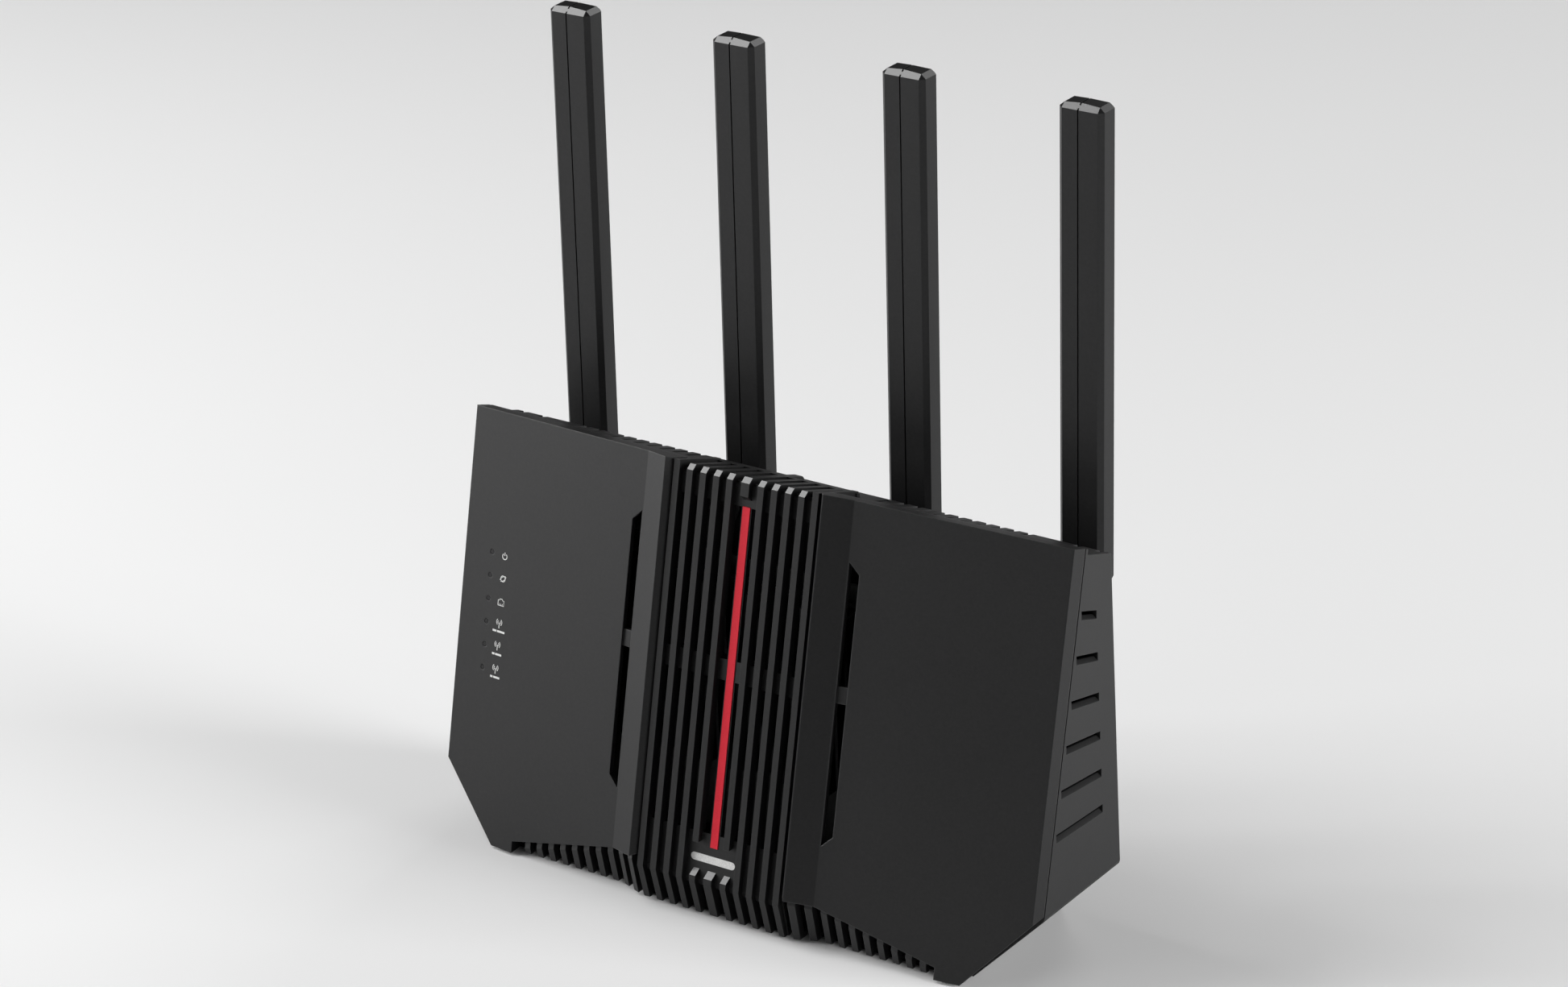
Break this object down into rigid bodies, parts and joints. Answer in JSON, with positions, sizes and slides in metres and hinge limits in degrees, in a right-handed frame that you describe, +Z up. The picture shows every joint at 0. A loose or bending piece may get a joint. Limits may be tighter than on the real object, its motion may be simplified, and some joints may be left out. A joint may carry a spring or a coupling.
{
  "type": "wireless router",
  "caption": "Upright wireless router: leaning faceted front with ribbed grille and red strip, folding antennas on rear swivels, rear network sockets.",
  "frame": {"origin": "on the surface the feet stand on, under the centre of the whole bounding box with the antennas upright", "axes": "+Z up, front face towards -Y, +X to the right seen from the front"},
  "size_m": [0.268, 0.098, 0.3203],
  "materials": {
    "front_plastic": "fine matte moulded texture",
    "grille_plastic": "fine matte moulded texture",
    "accent_plastic": "satin red",
    "housing_plastic": "matte moulded texture",
    "antenna_plastic": "fine matte moulded texture",
    "swivel_plastic": "satin",
    "board_laminate": "solder mask",
    "jack_metal": "stamped, plated",
    "port_metal": "stamped, plated",
    "contact_gold": "plated",
    "port_plastic": "satin",
    "button_plastic": "satin",
    "heat_sink_metal": "extruded",
    "shield_metal": "plated",
    "pad_rubber": "soft",
    "lead_jacket": "smooth",
    "light_pipe": "frosted",
    "led_plastic": "cast",
    "ribbon_plastic": "satin",
    "screw_steel": "zinc plated",
    "pin_steel": "ground",
    "clip_steel": "spring steel",
    "foot_rubber": "soft",
    "label_plastic": "satin, blank"
  },
  "bodies": {
    "housing": {"accent_strip": "accent_plastic", "antenna_leads": "lead_jacket", "board_screws": "screw_steel", "centre_grille": "grille_plastic", "dc_jack": "port_plastic", "dc_jack_pin": "port_metal", "front_heat_sink": "heat_sink_metal", "front_shell": "front_plastic", "jack_contacts": "contact_gold", "lan_jacks": "jack_metal", "lead_plugs": "contact_gold", "led_board": "board_laminate", "led_ribbon": "ribbon_plastic", "light_pipes": "light_pipe", "main_board": "board_laminate", "power_switch": "port_plastic", "rating_label": "label_plastic", "rear_heat_sink": "heat_sink_metal", "rear_housing": "housing_plastic", "rubber_feet": "foot_rubber", "shell_screws": "screw_steel", "shield_cans": "shield_metal", "status_leds": "led_plastic", "thermal_pads": "pad_rubber", "touch_switches": "port_plastic", "usb_port": "port_metal", "usb_tongue": "port_plastic", "wan_jack": "jack_metal"},
    "swivel_1": {"antenna_1_swivel": "swivel_plastic", "antenna_1_clip": "clip_steel"},
    "antenna_1": {"antenna_1_left_shell": "antenna_plastic", "antenna_1_right_shell": "antenna_plastic", "antenna_1_board": "board_laminate", "antenna_1_pin": "pin_steel"},
    "swivel_2": {"antenna_2_swivel": "swivel_plastic", "antenna_2_clip": "clip_steel"},
    "antenna_2": {"antenna_2_left_shell": "antenna_plastic", "antenna_2_right_shell": "antenna_plastic", "antenna_2_board": "board_laminate", "antenna_2_pin": "pin_steel"},
    "swivel_3": {"antenna_3_swivel": "swivel_plastic", "antenna_3_clip": "clip_steel"},
    "antenna_3": {"antenna_3_left_shell": "antenna_plastic", "antenna_3_right_shell": "antenna_plastic", "antenna_3_board": "board_laminate", "antenna_3_pin": "pin_steel"},
    "swivel_4": {"antenna_4_swivel": "swivel_plastic", "antenna_4_clip": "clip_steel"},
    "antenna_4": {"antenna_4_left_shell": "antenna_plastic", "antenna_4_right_shell": "antenna_plastic", "antenna_4_board": "board_laminate", "antenna_4_pin": "pin_steel"},
    "power_button_body": {"power_button": "button_plastic"},
    "pairing_button_body": {"pairing_button": "button_plastic"},
    "reset_plunger_body": {"reset_plunger": "button_plastic"}
  },
  "joints": [
    {"name": "antenna_1_swing", "type": "hinge", "parent": "housing", "child": "swivel_1", "pos_m": [-0.11231, 0.0436, 0.1402], "axis": [0, 1, 0], "range_deg": [-90, 18]},
    {"name": "antenna_1_fold", "type": "hinge", "parent": "swivel_1", "child": "antenna_1", "pos_m": [-0.11231, 0.0436, 0.1402], "axis": [-1, 0, 0], "range_deg": [0, 90]},
    {"name": "antenna_2_swing", "type": "hinge", "parent": "housing", "child": "swivel_2", "pos_m": [-0.03744, 0.0436, 0.1402], "axis": [0, 1, 0], "range_deg": [-18, 18]},
    {"name": "antenna_2_fold", "type": "hinge", "parent": "swivel_2", "child": "antenna_2", "pos_m": [-0.03744, 0.0436, 0.1402], "axis": [-1, 0, 0], "range_deg": [0, 90]},
    {"name": "antenna_3_swing", "type": "hinge", "parent": "housing", "child": "swivel_3", "pos_m": [0.03744, 0.0436, 0.1402], "axis": [0, 1, 0], "range_deg": [-18, 18]},
    {"name": "antenna_3_fold", "type": "hinge", "parent": "swivel_3", "child": "antenna_3", "pos_m": [0.03744, 0.0436, 0.1402], "axis": [-1, 0, 0], "range_deg": [0, 90]},
    {"name": "antenna_4_swing", "type": "hinge", "parent": "housing", "child": "swivel_4", "pos_m": [0.11231, 0.0436, 0.1402], "axis": [0, 1, 0], "range_deg": [-18, 90]},
    {"name": "antenna_4_fold", "type": "hinge", "parent": "swivel_4", "child": "antenna_4", "pos_m": [0.11231, 0.0436, 0.1402], "axis": [-1, 0, 0], "range_deg": [0, 90]},
    {"name": "power_press", "type": "slide", "parent": "housing", "child": "power_button_body", "axis": [0, -1, 0], "range_m": [0, 0.002], "stiffness_N_per_m": 700},
    {"name": "pairing_press", "type": "slide", "parent": "housing", "child": "pairing_button_body", "axis": [0, -1, 0], "range_m": [0, 0.001], "stiffness_N_per_m": 900},
    {"name": "reset_press", "type": "slide", "parent": "housing", "child": "reset_plunger_body", "axis": [0, -1, 0], "range_m": [0, 0.0008], "stiffness_N_per_m": 900}
  ]
}
